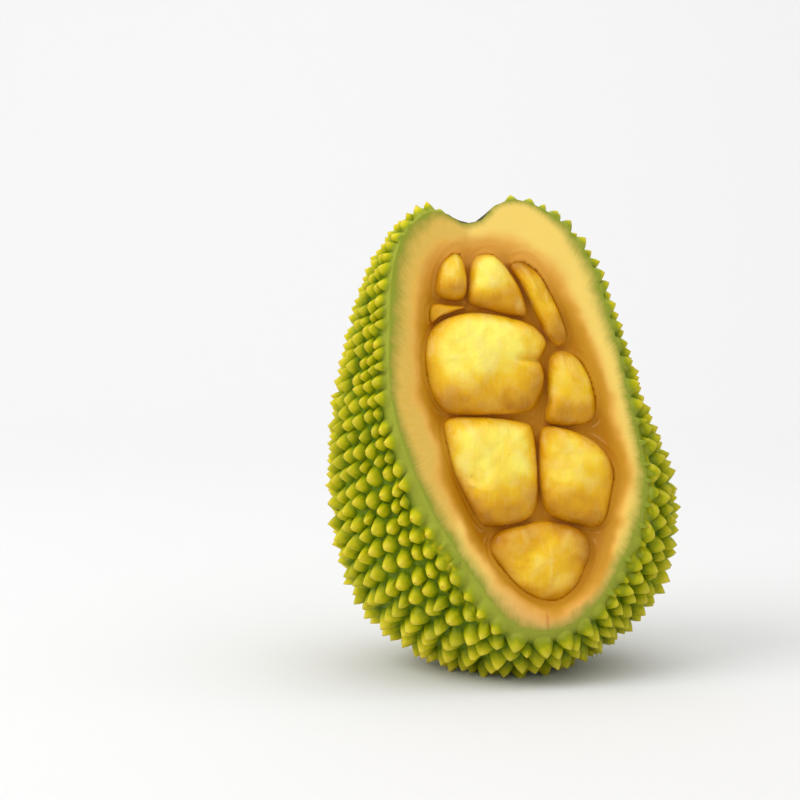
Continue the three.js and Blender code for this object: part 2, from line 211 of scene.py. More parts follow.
def smoothstep(value, low, high):
    t = np.clip((value - low) / (high - low), 0, 1)
    return t * t * (3 - 2 * t)


def points_of(mesh):
    """The mesh's vertices in millimetres."""
    flat = np.empty(len(mesh.vertices) * 3)
    mesh.vertices.foreach_get("co", flat)
    return flat.reshape(-1, 3) / MM


def move_points(mesh, points):
    mesh.vertices.foreach_set("co", (points * MM).ravel())
    mesh.update()


def mesh_piece(name, points, faces):
    mesh = bpy.data.meshes.new(name)
    mesh.from_pydata((points * MM).tolist(), [], faces)
    piece = bpy.data.objects.new(name, mesh)
    bpy.context.collection.objects.link(piece)
    return piece


def note(mesh, name, values):
    """Writes a number for each vertex, which the materials read by its name."""
    attribute = mesh.attributes.new(name, "FLOAT", "POINT")
    attribute.data.foreach_set("value", np.asarray(values, np.float32))


def note_vector(mesh, name, values):
    attribute = mesh.attributes.new(name, "FLOAT_VECTOR", "POINT")
    attribute.data.foreach_set("vector", values.astype(np.float32).ravel())


def nearest_of(points, places):
    """For each point, the index of the nearest place and how far it is."""
    tree = KDTree(len(places))
    for k, place in enumerate(places):
        tree.insert(place, k)
    tree.balance()
    found = [tree.find(point)[1:] for point in points]
    return np.array([k for k, _ in found]), np.array([away for _, away in found])


def recalculate_normals(piece):
    make_active(piece)
    bpy.ops.object.mode_set(mode="EDIT")
    bpy.ops.mesh.select_all(action="SELECT")
    bpy.ops.mesh.normals_make_consistent(inside=False)
    bpy.ops.object.mode_set(mode="OBJECT")


def apply_boolean(piece, operation, other):
    make_active(piece)
    cut = piece.modifiers.new("cut", "BOOLEAN")
    cut.operation = operation
    cut.solver = "MANIFOLD"
    cut.material_mode = "TRANSFER"
    cut.object = other
    bpy.ops.object.modifier_apply(modifier=cut.name)
    bpy.data.objects.remove(other)


# ---------------------------------------------------------------- the skin


def dome(s):
    return np.maximum(1 - np.abs(s) ** SQUARENESS, 0) ** (1 / SQUARENESS)


def half_width(s):
    return HALF_WIDTH * dome(s) * polynomial(TAPER, s)


def from_stalk(s, x, y):
    """How far a place on the skin is from the stalk scar, in sizes of its dent."""
    across = (x - STALK_PIT["x"]) / STALK_PIT["half_width"]
    along = (y - STALK_PIT["y"]) / STALK_PIT["half_length"]
    return np.where(s < 0, 1e3, np.hypot(across, along))


def skin_at(s, turn):
    """The points of the skin, without spikes, at levels and turns."""
    half = half_width(s)
    x = half * np.sin(turn)
    y = -half * np.cos(turn)
    y = y * np.where(y < 0, polynomial(FRONT_DEPTH, s), BACK_DEPTH)
    x = x - polynomial(SKEW, s) * np.minimum(y, 0)
    z = MID_HEIGHT + HALF_HEIGHT * s
    for level, facing, level_width, turn_width, out, up in SWELLS:
        off = (turn - facing + math.pi) % (2 * math.pi) - math.pi
        share = np.sqrt(dome(s)) * np.exp(-(((s - level) / level_width) ** 2) - (off / turn_width) ** 2)
        x = x + out * share * np.sin(turn)
        y = y - out * share * np.cos(turn)
        z = z + up * share
    x = x + MIDDLE[0] + LEAN_X * (z - MID_HEIGHT)
    y = y + MIDDLE[1] + FOOT_BACK * ((1 - s) / 2) ** 3 - HEAD_FORWARD * ((1 + s) / 2) ** 3
    z = z - STALK_PIT["depth"] * np.exp(-(from_stalk(s, x, y) ** 2))
    return np.stack([x, y, z], -1)


def normal_at(s, turn):
    level = np.clip(s, -1 + 2 * STEP, 1 - 2 * STEP)
    up = skin_at(level + STEP, turn) - skin_at(level - STEP, turn)
    around = skin_at(level, turn + STEP) - skin_at(level, turn - STEP)
    normal = np.cross(around, up)
    return normal / np.linalg.norm(normal, axis=-1, keepdims=True)


def crowding_at(s):
    """How many times denser than at the foot the spikes stand at a level."""
    return 1 + TOP_CROWDING * ((1 + s) / 2) ** 2


def spike_seeds():
    """Levels and turns of the spikes: a golden-angle spiral, evenly dense over the skin, then jittered."""
    levels = -np.cos(np.pi * np.arange(LEVEL_STEPS + 1) / LEVEL_STEPS)
    width = half_width(levels)
    roundness = (1 + (FRONT_DEPTH[0] + BACK_DEPTH) / 2) / 2
    slant = np.hypot(HALF_HEIGHT * np.diff(levels), np.diff(width))
    bands = np.pi * roundness * (width[:-1] + width[1:]) * slant * crowding_at(levels[1:])
    area = np.concatenate([[0], np.cumsum(bands)])
    count = round(area[-1] / (SPIKE_PITCH**2 * math.sqrt(3 / 4)))
    seeds = []
    for i in range(count):
        s = float(np.interp((i + 0.5) / count * area[-1], area, levels))
        shift = SPIKE_JITTER * SPIKE_PITCH / math.sqrt(crowding_at(s))
        around = max(float(half_width(s)), SPIKE_PITCH)
        steep = max(math.sqrt(1 - s * s), 0.1)
        level = s + (draw(i, 1) - 0.5) * shift * steep / HALF_HEIGHT
        turn = i * GOLDEN_ANGLE + (draw(i, 2) - 0.5) * shift / around
        seeds.append((min(max(level, -NEAR_POLE), NEAR_POLE), turn))
    seeds = drawn_back(np.array(seeds))
    seeds[0, 0] = -1
    return seeds


def behind_slice(s, turn):
    return -to_slice(skin_at(s, turn))[:, 2]


def drawn_back(seeds):
    """The seeds, those near the slice drawn back behind it, so that a row of spikes lines its rim."""
    s, turn = seeds.T
    front, row, back = CROWDED
    behind = behind_slice(s, turn)
    around = np.maximum(half_width(s), SPIKE_PITCH)
    below = np.minimum(s, 1 - 2 * STEP)
    upwards = (behind_slice(below + STEP, turn) - behind_slice(below, turn)) / STEP / HALF_HEIGHT
    sideways = (behind_slice(s, turn + STEP) - behind) / STEP / around
    wanted = row + (back - row) * np.clip((behind - front) / (back - front), 0, 1) ** CROWDING
    way = (wanted - behind) / np.maximum(upwards**2 + sideways**2, LEAST_SLOPE)
    way = np.where((behind < front) | (behind > back), 0, way)
    level = np.clip(s + way * upwards / HALF_HEIGHT, -NEAR_POLE, NEAR_POLE)
    return np.column_stack([level, turn + way * sideways / around])


def on_egg(seeds):
    """The seeds on a strictly convex stand-in for the skin, where their hull is their triangulation."""
    s, turn = seeds.T
    ring = HALF_WIDTH * np.sqrt(1 - s * s)
    return np.stack([ring * np.sin(turn), -ring * np.cos(turn), HALF_HEIGHT * s], -1)


def off_egg(points):
    x, y, z = (points / (HALF_WIDTH, HALF_WIDTH, HALF_HEIGHT)).T
    return np.stack([z / np.sqrt(x * x + y * y + z * z), np.arctan2(x, -y)], -1)


def cells_of(seeds):
    """The corners of the cells that the seeds share the skin out into, and each seed's corners in order."""
    hull = bmesh.new()
    for point in on_egg(seeds):
        hull.verts.new(point)
    bmesh.ops.convex_hull(hull, input=hull.verts[:])
    bmesh.ops.recalc_face_normals(hull, faces=hull.faces[:])
    hull.faces.index_update()
    hull.verts.index_update()
    corners = np.array([face.calc_center_median() for face in hull.faces])
    cells = []
    for vert in hull.verts:
        first = loop = vert.link_loops[0]
        cell = []
        while not cell or loop != first:
            cell.append(loop.face.index)
            loop = loop.link_loop_prev.link_loop_radial_next
        cells.append(cell)
    hull.free()
    levels = off_egg(corners)
    return skin_at(levels[:, 0], levels[:, 1]), cells


def bent_back(feet, tips):
    """Spikes' tips, with those of the spikes behind the slice kept behind it."""
    local = to_slice(tips)
    behind = to_slice(feet)[:, 2] < 0
    local[behind, 2] = np.minimum(local[behind, 2], -TIP_BEHIND)
    return from_slice(local)


def share_behind(middle, ring):
    """How far a ring of a spike's flank has to shrink round its middle to stay behind the slice."""
    room = -FLANK_BEHIND - to_slice(middle)[2]
    reach = max((ring @ SLICE_AXES)[:, 2].max(), 0.01)
    return min(max(room / reach, LEAST_SHARE), 1)


class Spikes:
    """Where each spike stands, how high it is and which way it leans."""

    def __init__(self):
        self.seeds = spike_seeds()
        level, turn = self.seeds.T
        self.feet = skin_at(level, turn)
        self.normals = normal_at(level, turn)
        bare = STALK_PIT["bare_share"]
        grown = smoothstep(from_stalk(level, self.feet[:, 0], self.feet[:, 1]), bare * 0.8, bare * 1.5)
        grown = grown * (to_slice(self.feet)[:, 2] < 0) / crowding_at(level)
        count = len(self.seeds)
        draws = np.array([[draw(i, stream) - 0.5 for stream in (3, 4, 5, 6)] for i in range(count)])
        self.heights = SPIKE_HEIGHT * (1 + SPIKE_HEIGHT_SPREAD * draws[:, 0]) * grown
        side = draws[:, 1:]
        side = side - self.normals * np.sum(side * self.normals, axis=1, keepdims=True)
        tips = self.feet + self.normals * self.heights[:, None] + side * SPIKE_LEAN * grown[:, None]
        self.tips = bent_back(self.feet, tips)
        self.leans = self.tips - self.feet - self.normals * self.heights[:, None]
        self.grown = grown
        self.widest = SPIKE_WIDEST * SPIKE_PITCH / np.sqrt(crowding_at(level))


def whole_rind(spikes):
    """The whole fruit with all its spikes, each a blunt cone that rises from its cell of the skin."""
    corners, cells = cells_of(spikes.seeds)
    points = list(corners)
    halfway = {}
    faces = []
    for i, cell in enumerate(cells):
        ring = []
        for a, b in zip(cell, cell[1:] + cell[:1]):
            pair = (min(a, b), max(a, b))
            if pair not in halfway:
                halfway[pair] = len(points)
                points.append((corners[a] + corners[b]) / 2)
            ring += [a, halfway[pair]]
        edge = np.array([points[k] for k in ring]) - spikes.feet[i]
        reach = np.linalg.norm(edge, axis=1, keepdims=True)
        edge = edge * np.minimum(1, spikes.widest[i] / reach)
        reach = np.minimum(reach, spikes.widest[i])
        for share, rise in SPIKE_FLANK:
            even = 1 + SPIKE_ROUNDNESS * (1 - share) ** 0.5 * (reach.mean() / reach - 1)
            up = spikes.normals[i] * spikes.heights[i] * rise + spikes.leans[i] * rise**1.5
            flank = edge * share * even
            if spikes.heights[i] > 0 and spikes.normals[i] @ SLICE_AXES[:, 2] > SLICED_THROUGH:
                flank = flank * share_behind(spikes.feet[i] + up, flank)
            start = len(points)
            points.extend(spikes.feet[i] + up + flank)
            inner = list(range(start, start + len(ring)))
            for k in range(len(ring)):
                after = (k + 1) % len(ring)
                faces.append((ring[k], ring[after], inner[after], inner[k]))
            ring = inner
        tip = len(points)
        points.append(spikes.tips[i])
        faces += [(ring[k], ring[(k + 1) % len(ring)], tip) for k in range(len(ring))]
    rind = mesh_piece("fruit", np.array(points), faces)
    recalculate_normals(rind)
    return rind


# ---------------------------------------------------------------- the slice


def slice_frame():
    """Columns right, up and out of the slice's own frame."""
    yaw, tip = math.radians(SLICE_YAW), math.radians(SLICE_TIP)
    level = math.cos(tip)
    out = np.array([math.sin(yaw) * level, -math.cos(yaw) * level, math.sin(tip)])
    right = np.array([math.cos(yaw), math.sin(yaw), 0])
    return np.stack([right, np.cross(out, right), out], 1)


SLICE_AXES = slice_frame()


def from_slice(points):
    return points @ SLICE_AXES.T + SLICE_CENTRE


def to_slice(points):
    return (points - SLICE_CENTRE) @ SLICE_AXES


def smooth_loop(corners, count):
    """Points along a smooth closed line through the corners, evenly spaced between them, anticlockwise."""
    corners = np.array(corners, float)
    x, y = corners.T
    if np.sum(x * np.roll(y, -1) - y * np.roll(x, -1)) < 0:
        corners = corners[::-1]
    place = np.arange(count) / count * len(corners)
    k = place.astype(int)
    t = (place - k)[:, None]
    a, b, c, d = (corners[(k + shift) % len(corners)] for shift in (-1, 0, 1, 2))
    return 0.5 * (2 * b + (c - a) * t + (2 * a - 5 * b + 4 * c - d) * t**2 + (3 * b - a - 3 * c + d) * t**3)


def distance_outside(points, loop):
    """How far points are from a closed loop in the plane, negative inside it."""
    nearest = np.full(len(points), 1e6)
    inside = np.zeros(len(points), bool)
    for start, end in zip(loop, np.roll(loop, -1, 0)):
        along = end - start
        t = np.clip((points - start) @ along / (along @ along), 0, 1)
        nearest = np.minimum(nearest, np.linalg.norm(points - start - t[:, None] * along, axis=1))
        crosses = (start[1] > points[:, 1]) != (end[1] > points[:, 1])
        slope = along[0] / along[1] if along[1] else 0
        inside ^= crosses & (points[:, 0] < start[0] + (points[:, 1] - start[1]) * slope)
    return np.where(inside, -nearest, nearest)


class ArilOutline:
    """An aril's outline round its middle, for shaping it and the socket that it lies in."""

    def __init__(self, name):
        self.rise, self.sink, corners = ARILS[name]
        self.middle = smooth_loop(corners, ARIL_SIDES).mean(0)
        self.loop = smooth_loop(corners, 120)
        off = self.loop - self.middle
        angle = np.arctan2(off[:, 1], off[:, 0])
        order = np.argsort(angle)
        self.angles = angle[order]
        self.reaches = np.linalg.norm(off, axis=1)[order]

    def reach(self, angle):
        return np.interp(angle, self.angles, self.reaches, period=2 * math.pi)


OUTLINES = {name: ArilOutline(name) for name in ARILS}
HOLLOW_LOOP = smooth_loop(HOLLOW_OUTLINE, 160)

MEMBRANE = {"away": 4.5, "width": 0.9, "height": 0.8}  # the thin fold of flesh that rings the arils
COLLAR = 1.8  # how far the flesh climbs up an aril where it hugs it, and how far from it the climb starts
WAVES = 0.35  # the cut is never quite flat
# The slab that is sliced off: faces across and upward, where each share of them ends, and its thickness.
SLAB_FACES = (190, 290)
SLAB_ACROSS = ((0, 0.13, 0.87, 1), (-130, -68, 82, 130))
SLAB_UPWARD = ((0, 0.08, 0.93, 1), (-190, -134, 120, 165))
SLAB_THICKNESS = 150


def from_arils(plane):
    """How far places are from each aril and the nearest one, and whether between two, from 0 to 1."""
    away = np.array([distance_outside(plane, outline.loop) for outline in OUTLINES.values()])
    first, second = np.sort(away, axis=0)[:2]
    return away, first, 1 - smoothstep(first + second, 2.5, 6) * smoothstep(second - first, 1, 4)


def membrane_at(from_aril, between):
    """The share of the thin fold of flesh at places."""
    away, width = MEMBRANE["away"], MEMBRANE["width"]
    return np.exp(-(((from_aril - away) / width) ** 2)) * (1 - between)


def flesh_height(plane):
    """How far the cut flesh lies above the slice's plane, negative in the hollow."""
    inside = -distance_outside(plane, HOLLOW_LOOP)
    height = ARIL_LEVEL * smoothstep(inside, WALL_TOP, WALL_FOOT)
    u, v = plane.T
    height = height + WAVES * np.sin(u / 9 + 1.3 * np.sin(v / 23)) * np.sin(v / 14 + 0.7)
    sockets = np.zeros(len(plane))
    away, from_aril, between = from_arils(plane)
    for outline, outside in zip(OUTLINES.values(), away):
        off = plane - outline.middle
        share = np.linalg.norm(off, axis=1) / outline.reach(np.arctan2(off[:, 1], off[:, 0]))
        within = np.minimum(share, 1)
        crown = ARIL_LEVEL + outline.rise * (1 - within**ARIL_SQUARENESS) ** (1 / ARIL_SQUARENESS)
        floor = ARIL_LEVEL - outline.sink * np.sqrt(1 - within**2)
        covered = (outside < -SOCKET_INSET) & (crown > height + 1)
        sockets = np.where(covered, floor, sockets)
    height = height + MEMBRANE["height"] * membrane_at(from_aril, between)
    height = height + COLLAR * np.exp(-((np.maximum(from_aril, 0) / COLLAR) ** 2))
    return np.where(sockets < 0, np.minimum(sockets, height), height)


def slab():
    """What is sliced off: its inner side has the relief of the cut flesh, the hollow and the sockets."""
    clear_selection()
    bpy.ops.mesh.primitive_grid_add(x_subdivisions=SLAB_FACES[0], y_subdivisions=SLAB_FACES[1], size=1)
    piece = bpy.context.object
    share = points_of(piece.data)[:, :2] * MM + 0.5
    across = np.interp(share[:, 0], *SLAB_ACROSS)
    upward = np.interp(share[:, 1], *SLAB_UPWARD)
    plane = np.column_stack([across, upward])
    move_points(piece.data, from_slice(np.column_stack([plane, flesh_height(plane)])))
    thickness = Vector(SLICE_AXES[:, 2]) * SLAB_THICKNESS * MM
    bpy.ops.object.mode_set(mode="EDIT")
    bpy.ops.mesh.select_all(action="SELECT")
    bpy.ops.mesh.extrude_region_move(TRANSFORM_OT_translate={"value": thickness})
    bpy.ops.object.mode_set(mode="OBJECT")
    recalculate_normals(piece)
    return piece


def ground_block():
    """What the flat spot is cut with."""
    clear_selection()
    bpy.ops.mesh.primitive_cube_add(size=0.6, location=(0, 0, -0.3))
    return bpy.context.object


# ---------------------------------------------------------------- materials


def colour(code):
    """An sRGB hex value as linear red, green, blue and alpha."""
    channels = [int(code[k : k + 2], 16) / 255 for k in (1, 3, 5)]
    return [c / 12.92 if c <= 0.04045 else ((c + 0.055) / 1.055) ** 2.4 for c in channels] + [1]


def new_material(name):
    """A material with its node tree, and its shader."""
    material = bpy.data.materials.new(name)
    material.use_nodes = True
    return material, material.node_tree, material.node_tree.nodes["Principled BSDF"]


def add_node(tree, kind, settings=None, **inputs):
    """Adds a node, sets it up, and links or sets its inputs, named with underscores or by number (in0)."""
    node = tree.nodes.new(kind)
    for key, value in (settings or {}).items():
        setattr(node, key, value)
    for key, value in inputs.items():
        socket = node.inputs[int(key[2:])] if key[:2] == "in" and key[2:].isdigit() else None
        socket = socket or node.inputs[key.replace("_", " ")]
        if isinstance(value, bpy.types.NodeSocket):
            tree.links.new(value, socket)
        else:
            socket.default_value = value
    return node


def set_ramp(node, stops):
    """Gives a colour ramp its stops, (place, hex colour) each."""
    ramp = node.color_ramp
    while len(ramp.elements) < len(stops):
        ramp.elements.new(0.5)
    for element, (place, code) in zip(ramp.elements, stops):
        element.position = place
        element.color = colour(code)
    return node.outputs["Color"]


def link(tree, source, shader, name):
    tree.links.new(source, shader.inputs[name])


def noted(tree, name):
    return add_node(tree, "ShaderNodeAttribute", {"attribute_name": name}).outputs["Fac"]


def math_node(tree, operation, first, second):
    return add_node(tree, "ShaderNodeMath", {"operation": operation}, in0=first, in1=second).outputs[0]


def mixed(tree, share, first, second):
    """One colour over another by a share; a hex value or a colour socket each."""
    node = add_node(tree, "ShaderNodeMix", {"data_type": "RGBA"}, Factor=share)
    for index, value in ((6, first), (7, second)):
        if isinstance(value, str):
            node.inputs[index].default_value = colour(value)
        else:
            tree.links.new(value, node.inputs[index])
    return node.outputs[2]


def eased(tree, value, low, high, first=0.0, last=1.0):
    """The share from first to last of a value's way from low to high, held at both ends."""
    node = add_node(tree, "ShaderNodeMapRange", {"interpolation_type": "SMOOTHSTEP"}, Value=value)
    for name, number in (("From Min", low), ("From Max", high), ("To Min", first), ("To Max", last)):
        node.inputs[name].default_value = number
    return node.outputs[0]


def cloud(tree, place, size, detail, low, high):
    """A soft noise, whose patches are of the size, from low to high."""
    noise = add_node(tree, "ShaderNodeTexNoise", Vector=place, Scale=1 / size, Detail=detail)
    return eased(tree, noise.outputs["Fac"], 0.3, 0.7, low, high)


def rind_skin():
    """Waxy skin of a ripe jackfruit: deep green between the spikes (partly painted shade), yellow-green
    flanks, rusty tips.
    """
    material, tree, shader = new_material("waxy_jackfruit_rind")
    place = add_node(tree, "ShaderNodeTexCoord").outputs["Object"]
    rise = noted(tree, "spike_rise")
    uneven = math_node(tree, "ADD", rise, cloud(tree, place, 4 * MM, 2.0, -0.08, 0.08))
    # Partly the skin's own colour, partly painted light: dark green low between the spikes is partly painted
    # shade, and the bright yellow-green near the tips is partly painted highlight.
    flank = set_ramp(
        add_node(tree, "ShaderNodeValToRGB", Fac=uneven),
        [(0.0, "#5C740C"), (0.12, "#70860A"), (0.35, "#98A006"), (0.65, "#C2BA0C"), (0.95, "#DACA3C")],
    )
    # Some spikes are greener and some more yellow. As painted light and shade, the fruit is also painted
    # yellower and lighter at the top and on its left, and greener and darker on its right and lower down.
    ripeness_and_painted_shade = math_node(tree, "ADD", noted(tree, "spike_tone_and_painted_shade"), cloud(tree, place, 60 * MM, 1.0, -0.5, 0.5))
    greener = add_node(tree, "ShaderNodeHueSaturation", Color=flank, Hue=0.508, Saturation=1.0, Value=0.8)
    yellower = add_node(tree, "ShaderNodeHueSaturation", Color=flank, Hue=0.497, Saturation=1.0, Value=1.08)
    toned = mixed(tree, eased(tree, ripeness_and_painted_shade, 0.1, 1.1), yellower.outputs["Color"], greener.outputs["Color"])
    # The skin between the spikes is paler next to the slice, where the light green fringe shows through it.
    beside = eased(tree, noted(tree, "below_slice"), 9.0, 3.0)
    low = math_node(tree, "MULTIPLY", beside, eased(tree, uneven, 0.45, 0.05, 0.0, 0.75))
    paler = mixed(tree, low, toned, "#A8AC3A")
    # The withered end of each flower leaves a rusty dot on the tip of its spike, on some more than on others.
    dot = eased(tree, noted(tree, "from_tip"), 0.4, 1.6, 0.75, 0.0)
    dotted = mixed(tree, dot, paler, "#B5791C")
    # Dry grey-green cork in the dent round the stalk.
    corky = math_node(tree, "ADD", noted(tree, "from_stalk"), cloud(tree, place, 5 * MM, 3.0, -0.2, 0.2))
    bare = mixed(tree, eased(tree, corky, 0.9, 1.3, 0.95, 0.0), dotted, "#45472F")
    link(tree, bare, shader, "Base Color")
    fine = add_node(tree, "ShaderNodeTexNoise", Vector=place, Scale=1 / (0.8 * MM), Detail=2.0)
    bump = add_node(tree, "ShaderNodeBump", Strength=0.2, Distance=0.3 * MM, Height=fine.outputs["Fac"])
    link(tree, bump.outputs["Normal"], shader, "Normal")
    shader.inputs["Roughness"].default_value = 0.42
    shader.inputs["Specular IOR Level"].default_value = 0.12
    return material


def cut_flesh():
    """Cut wall of a jackfruit: green under the skin, cream fibres, then orange to brown at the hollow."""
    material, tree, shader = new_material("cut_jackfruit_flesh")
    place = add_node(tree, "ShaderNodeTexCoord").outputs["Object"]
    fibre = add_node(tree, "ShaderNodeAttribute", {"attribute_name": "fibre_way"}).outputs["Vector"]
    streaks = add_node(tree, "ShaderNodeTexNoise", Vector=fibre, Scale=1.0, Detail=3.0).outputs["Fac"]
    # Cream fibres, tanner on the left lobe, yellower on the right and with a blush at the foot.
    cream = set_ramp(
        add_node(tree, "ShaderNodeValToRGB", Fac=eased(tree, noted(tree, "across"), -60.0, 60.0)),
        [(0.0, "#D8B04A"), (0.45, "#DEB652"), (0.51, "#F6D26A"), (1.0, "#F6D468")],
    )
    blush = mixed(tree, eased(tree, noted(tree, "upward"), -85.0, -135.0, 0.0, 0.8), cream, "#D9A25A")
    fibres = mixed(tree, eased(tree, streaks, 0.35, 0.65, 0.0, 0.1), blush, "#F0D890")
    # Orange towards the hollow. Painted shade: brown where the flesh falls into it and deeper down in it,
    # both less near the top of the slice, and in the crease round each aril.
    hollow = math_node(tree, "ADD", noted(tree, "from_hollow"), cloud(tree, place, 22 * MM, 2.0, -2.0, 2.0))
    peach = mixed(tree, eased(tree, hollow, 10.0, -3.0, 0.0, 0.9), fibres, "#EAA642")
    lower = eased(tree, noted(tree, "upward"), 112.0, 60.0, 0.1, 1.0)
    falling_shade = math_node(tree, "MULTIPLY", eased(tree, hollow, 5.0, -3.0), lower)
    wall_shaded = mixed(tree, falling_shade, peach, "#C48C1A")
    deep = math_node(tree, "MULTIPLY", eased(tree, noted(tree, "below_slice"), 1.5, 8.0), lower)
    hollow_shaded = mixed(tree, deep, wall_shaded, "#B87A06")
    crease_shaded = mixed(tree, eased(tree, noted(tree, "crease"), 0.0, 1.0), hollow_shaded, "#A66206")
    folded = mixed(tree, eased(tree, noted(tree, "membrane"), 0.3, 1.0, 0.0, 0.35), crease_shaded, "#E0B878")
    skinned = mixed(tree, eased(tree, noted(tree, "split"), 0.2, 1.0, 0.0, 0.55), folded, "#C0693A")
    # Green under the skin, frayed along the fibres and scalloped by the spikes' roots.
    fray = eased(tree, streaks, 0.25, 0.75, -0.35, 0.35)
    scallops = cloud(tree, place, 9 * MM, 1.0, -0.5, 0.5)
    depth = math_node(tree, "ADD", math_node(tree, "ADD", noted(tree, "rim_depth"), fray), scallops)
    green = mixed(tree, eased(tree, depth, 5.5, -0.5, 0.0, 0.9), skinned, "#868E2C")
    stalk = eased(tree, noted(tree, "from_stalk"), 0.7, 1.1)
    lip = mixed(tree, stalk, "#4C4E3C", "#8E9A2A")
    rim = mixed(tree, eased(tree, depth, 1.4, 0.0), green, lip)
    link(tree, rim, shader, "Base Color")
    pores = add_node(tree, "ShaderNodeTexNoise", Vector=place, Scale=1 / (1.2 * MM), Detail=2.0)
    bump = add_node(tree, "ShaderNodeBump", Strength=0.2, Distance=0.4 * MM, Height=pores.outputs["Fac"])
    link(tree, bump.outputs["Normal"], shader, "Normal")
    shader.inputs["Roughness"].default_value = 0.45
    shader.inputs["Specular IOR Level"].default_value = 0.15
    shader.inputs["Subsurface Weight"].default_value = 0.1
    shader.inputs["Subsurface Radius"].default_value = (1.0, 0.8, 0.4)
    shader.inputs["Subsurface Scale"].default_value = 3 * MM
    return material


def aril_flesh():
    """Moist flesh of a ripe aril with fine fibres: yellow crown, orange-brown sides, partly painted light and
    shade.
    """
    material, tree, shader = new_material("ripe_aril_flesh")
    grain = add_node(tree, "ShaderNodeAttribute", {"attribute_name": "grain"}).outputs["Vector"]
    # Painted mottled shade: broad patches of deeper and paler gold stand in for the light and shade of the
    # lumps.
    level = math_node(tree, "ADD", noted(tree, "pallor_and_painted_light"), cloud(tree, grain, 16.0, 1.0, -0.11, 0.1))
    gold = set_ramp(
        add_node(tree, "ShaderNodeValToRGB", Fac=level),
        [(0.0, "#9C5E04"), (0.18, "#C4860A"), (0.42, "#DEA410"), (0.7, "#F0C220"), (1.0, "#FDEA62")],
    )
    # Creamy patches, partly painted light on the lumps, fine pale fibres, and pale streaks along the ridges
    # as painted highlights, all strongest on the crown.
    patches = math_node(tree, "MULTIPLY", cloud(tree, grain, 13.0, 2.0, -0.3, 0.4), noted(tree, "pallor_and_painted_light"))
    creamy_and_lit_patches = mixed(tree, patches, gold, "#F2D57E")
    way = add_node(tree, "ShaderNodeAttribute", {"attribute_name": "fibre_way"}).outputs["Vector"]
    fibres = add_node(tree, "ShaderNodeTexNoise", Vector=way, Scale=1.0, Detail=3.0).outputs["Fac"]
    fine = math_node(tree, "MULTIPLY", eased(tree, fibres, 0.5, 0.8, 0.0, 0.25), noted(tree, "pallor_and_painted_light"))
    pale = mixed(tree, fine, creamy_and_lit_patches, "#FBEB9E")
    ridge_highlights = mixed(tree, eased(tree, noted(tree, "ridge"), 0.2, 1.2, 0.0, 0.3), pale, "#FBE98E")
    link(tree, ridge_highlights, shader, "Base Color")
    wrinkles = math_node(tree, "ADD", fibres, cloud(tree, grain, 5.0, 3.0, 0.0, 1.2))
    bump = add_node(tree, "ShaderNodeBump", Strength=0.4, Distance=0.7 * MM, Height=wrinkles)
    link(tree, bump.outputs["Normal"], shader, "Normal")
    shader.inputs["Roughness"].default_value = 0.3
    shader.inputs["Specular IOR Level"].default_value = 0.22
    shader.inputs["Subsurface Weight"].default_value = 0.2
    shader.inputs["Subsurface Radius"].default_value = (1.0, 0.6, 0.2)
    shader.inputs["Subsurface Scale"].default_value = 4 * MM
    return material


# ---------------------------------------------------------------- the pieces


SKIN_NET = (300, 560)  # levels and turns


def offset_from_skin(points):
    """How far points stand out of the bare skin, negative below it, by a fine net of its points."""
    levels = -np.cos(np.linspace(0, np.pi, SKIN_NET[0]))
    turns = np.linspace(0, 2 * np.pi, SKIN_NET[1], endpoint=False)
    s, turn = (grid.ravel() for grid in np.meshgrid(levels, turns))
    net, normals = skin_at(s, turn), normal_at(s, turn)
    nearest, _ = nearest_of(points, net)
    return np.einsum("ij,ij->i", points - net[nearest], normals[nearest])


# In the slice's plane: where the line between the two lobes starts, and how far it drifts right for each
# mm up; the split in the flesh at the foot; and the share by which depths under the skin count less at the
# upper right and left, where the green fringe is wider.
LOBES_MEET = {"x": -21, "y": 128, "drift": 0.1}
SPLIT = {"x": 15.8, "width": 1.3, "top": -122, "foot": -134}
FRINGE = {"right": 0.55, "left": 0.6}
# Fibres fan out from the middle of the slice: how often they change round it, outwards and inwards.
FIBRE_FAN = (90, 0.12, 0.3)


